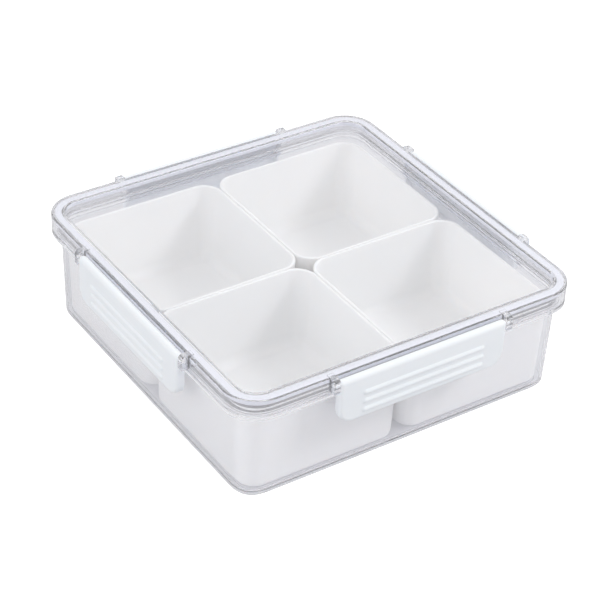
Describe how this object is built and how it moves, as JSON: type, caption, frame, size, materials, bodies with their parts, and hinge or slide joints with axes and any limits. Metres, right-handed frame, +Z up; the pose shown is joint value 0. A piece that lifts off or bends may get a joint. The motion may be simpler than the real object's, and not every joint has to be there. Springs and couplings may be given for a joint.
{
  "type": "divided snack serving box",
  "caption": "Square clear lidded serving box for snacks and dips, with lift-out white compartments and snap latches on every side.",
  "frame": {"origin": "centre of the footprint at the underside of the tray, where it stands on the table", "axes": "+Z up along the way the lid lifts off, -Y towards the front; the part is the same on all four sides"},
  "size_m": [0.2642, 0.2642, 0.0788],
  "materials": {
    "clear_tray": "clear moulded, polished",
    "clear_lid": "clear moulded, polished",
    "clear_silicone": "translucent, smooth",
    "white_latch": "white moulded, fine satin",
    "white_box": "white moulded, fine satin"
  },
  "bodies": {
    "tray": {"tray": "clear_tray"},
    "lid": {"lid": "clear_lid", "seal_ring": "clear_silicone"},
    "latch_front": {"latch_front": "white_latch"},
    "latch_right": {"latch_right": "white_latch"},
    "latch_back": {"latch_back": "white_latch"},
    "latch_left": {"latch_left": "white_latch"},
    "box_front_left": {"box_front_left": "white_box"},
    "box_front_right": {"box_front_right": "white_box"},
    "box_back_right": {"box_back_right": "white_box"},
    "box_back_left": {"box_back_left": "white_box"}
  },
  "joints": [
    {"name": "lid_lift", "type": "slide", "parent": "tray", "child": "lid", "axis": [0, 0, 1], "range_m": [0, 0.16]},
    {"name": "latch_front_hinge", "type": "hinge", "parent": "lid", "child": "latch_front", "pos_m": [0, -0.1282, 0.074], "axis": [-1, 0, 0], "range_deg": [0, 115]},
    {"name": "latch_right_hinge", "type": "hinge", "parent": "lid", "child": "latch_right", "pos_m": [0.1282, 0, 0.074], "axis": [0, -1, 0], "range_deg": [0, 115]},
    {"name": "latch_back_hinge", "type": "hinge", "parent": "lid", "child": "latch_back", "pos_m": [0, 0.1282, 0.074], "axis": [1, 0, 0], "range_deg": [0, 115]},
    {"name": "latch_left_hinge", "type": "hinge", "parent": "lid", "child": "latch_left", "pos_m": [-0.1282, 0, 0.074], "axis": [0, 1, 0], "range_deg": [0, 115]},
    {"name": "box_front_left_lift", "type": "slide", "parent": "tray", "child": "box_front_left", "axis": [0, 0, 1], "range_m": [0, 0.076]},
    {"name": "box_front_right_lift", "type": "slide", "parent": "tray", "child": "box_front_right", "axis": [0, 0, 1], "range_m": [0, 0.076]},
    {"name": "box_back_right_lift", "type": "slide", "parent": "tray", "child": "box_back_right", "axis": [0, 0, 1], "range_m": [0, 0.076]},
    {"name": "box_back_left_lift", "type": "slide", "parent": "tray", "child": "box_back_left", "axis": [0, 0, 1], "range_m": [0, 0.076]}
  ],
  "couplings": [
    {"joint": "box_front_left_lift", "follows": "lid_lift", "ratio": 0.47},
    {"joint": "box_front_right_lift", "follows": "lid_lift", "ratio": 0.47},
    {"joint": "box_back_right_lift", "follows": "lid_lift", "ratio": 0.47},
    {"joint": "box_back_left_lift", "follows": "lid_lift", "ratio": 0.47}
  ]
}
